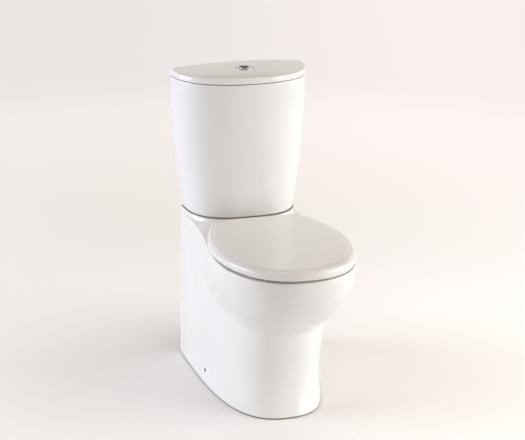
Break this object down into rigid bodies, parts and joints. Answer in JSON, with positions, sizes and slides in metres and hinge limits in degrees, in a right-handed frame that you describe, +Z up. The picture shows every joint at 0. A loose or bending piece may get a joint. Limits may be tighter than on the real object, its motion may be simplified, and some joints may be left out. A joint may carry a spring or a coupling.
{
  "type": "toilet",
  "caption": "Close-coupled toilet, back to the wall: tapering cistern with a round push button, shrouded D-shaped pan and an oval wrap-over seat.",
  "frame": {"origin": "on the floor, under the middle of the bounding box", "axes": "+Z up, -Y towards the front of the bowl, +Y towards the wall, +X to the right seen from the front"},
  "size_m": [0.3646, 0.6154, 0.815],
  "materials": {
    "vitreous_china": "smooth white glaze",
    "seat_plastic": "white, polished",
    "chrome": "polished chrome plate",
    "valve_plastic": "moulded, natural white",
    "tinted_plastic": "moulded, blue",
    "rubber": "black rubber",
    "buffer_rubber": "pale soft rubber",
    "brass": "turned brass",
    "zinc_steel": "zinc plated"
  },
  "bodies": {
    "toilet": {"cistern": "vitreous_china", "coupling_bolt_left": "brass", "coupling_bolt_right": "brass", "coupling_cone_washer_left": "rubber", "coupling_cone_washer_right": "rubber", "coupling_doughnut": "rubber", "coupling_flat_washer_left": "brass", "coupling_flat_washer_right": "brass", "coupling_wing_nut_left": "valve_plastic", "coupling_wing_nut_right": "valve_plastic", "fill_valve_backnut": "brass", "fill_valve_body": "valve_plastic", "fill_valve_cap": "tinted_plastic", "fill_valve_washer": "rubber", "flank_screw_left": "zinc_steel", "flank_screw_right": "zinc_steel", "floor_bracket_left": "zinc_steel", "floor_bracket_right": "zinc_steel", "floor_screw_left": "zinc_steel", "floor_screw_right": "zinc_steel", "flush_valve_backnut": "valve_plastic", "flush_valve_base": "valve_plastic", "flush_valve_cage": "valve_plastic", "flush_valve_head": "tinted_plastic", "flush_valve_washer": "rubber", "hinge_pin_left": "chrome", "hinge_pin_right": "chrome", "hinge_post_left": "chrome", "hinge_post_right": "chrome", "hinge_stud_left": "chrome", "hinge_stud_right": "chrome", "hinge_washer_left": "buffer_rubber", "hinge_washer_right": "buffer_rubber", "hinge_wing_nut_left": "valve_plastic", "hinge_wing_nut_right": "valve_plastic", "pan": "vitreous_china", "pan_bowl": "vitreous_china", "pan_trapway": "vitreous_china"},
    "seat_ring": {"seat_ring": "seat_plastic", "ring_buffer_front_left": "buffer_rubber", "ring_buffer_front_right": "buffer_rubber", "ring_buffer_rear_left": "buffer_rubber", "ring_buffer_rear_right": "buffer_rubber"},
    "seat_lid": {"seat_lid": "seat_plastic", "lid_buffer_left": "buffer_rubber", "lid_buffer_right": "buffer_rubber"},
    "cistern_lid": {"cistern_lid": "vitreous_china", "button_bezel": "chrome", "bezel_nut": "valve_plastic"},
    "full_button": {"full_flush_button": "chrome", "full_flush_rod": "valve_plastic"},
    "half_button": {"half_flush_button": "chrome", "half_flush_rod": "valve_plastic"},
    "flush_seal": {"overflow_tube": "valve_plastic", "flush_valve_seal": "rubber", "flush_valve_float": "tinted_plastic"},
    "fill_float": {"fill_valve_float": "tinted_plastic", "fill_valve_link": "valve_plastic"},
    "fill_lever": {"fill_valve_lever": "valve_plastic"}
  },
  "joints": [
    {"name": "seat_ring_hinge", "type": "hinge", "parent": "toilet", "child": "seat_ring", "pos_m": [0, 0.09325, 0.4355], "axis": [-1, 0, 0], "range_deg": [0, 93]},
    {"name": "seat_lid_hinge", "type": "hinge", "parent": "seat_ring", "child": "seat_lid", "pos_m": [0, 0.09325, 0.4355], "axis": [1, 0, 0], "range_deg": [-96, 0]},
    {"name": "cistern_lid_lift", "type": "slide", "parent": "toilet", "child": "cistern_lid", "axis": [0, 0, 1], "range_m": [0, 0.12]},
    {"name": "full_button_press", "type": "slide", "parent": "cistern_lid", "child": "full_button", "axis": [0, 0, -1], "range_m": [0, 0.005], "stiffness_N_per_m": 300, "springref_m": -0.004},
    {"name": "half_button_press", "type": "slide", "parent": "cistern_lid", "child": "half_button", "axis": [0, 0, -1], "range_m": [0, 0.005], "stiffness_N_per_m": 300, "springref_m": -0.004},
    {"name": "flush_seal_lift", "type": "slide", "parent": "toilet", "child": "flush_seal", "axis": [0, 0, 1], "range_m": [0, 0.02]},
    {"name": "fill_float_rise", "type": "slide", "parent": "toilet", "child": "fill_float", "axis": [0, 0, 1], "range_m": [0, 0.02]},
    {"name": "fill_lever_turn", "type": "hinge", "parent": "toilet", "child": "fill_lever", "pos_m": [-0.108, 0.24175, 0.6991], "axis": [-1, 0, 0], "range_deg": [0, 31]}
  ],
  "couplings": [
    {"joint": "flush_seal_lift", "follows": "full_button_press", "ratio": 4},
    {"joint": "fill_lever_turn", "follows": "fill_float_rise", "rad_per_m": 26}
  ]
}
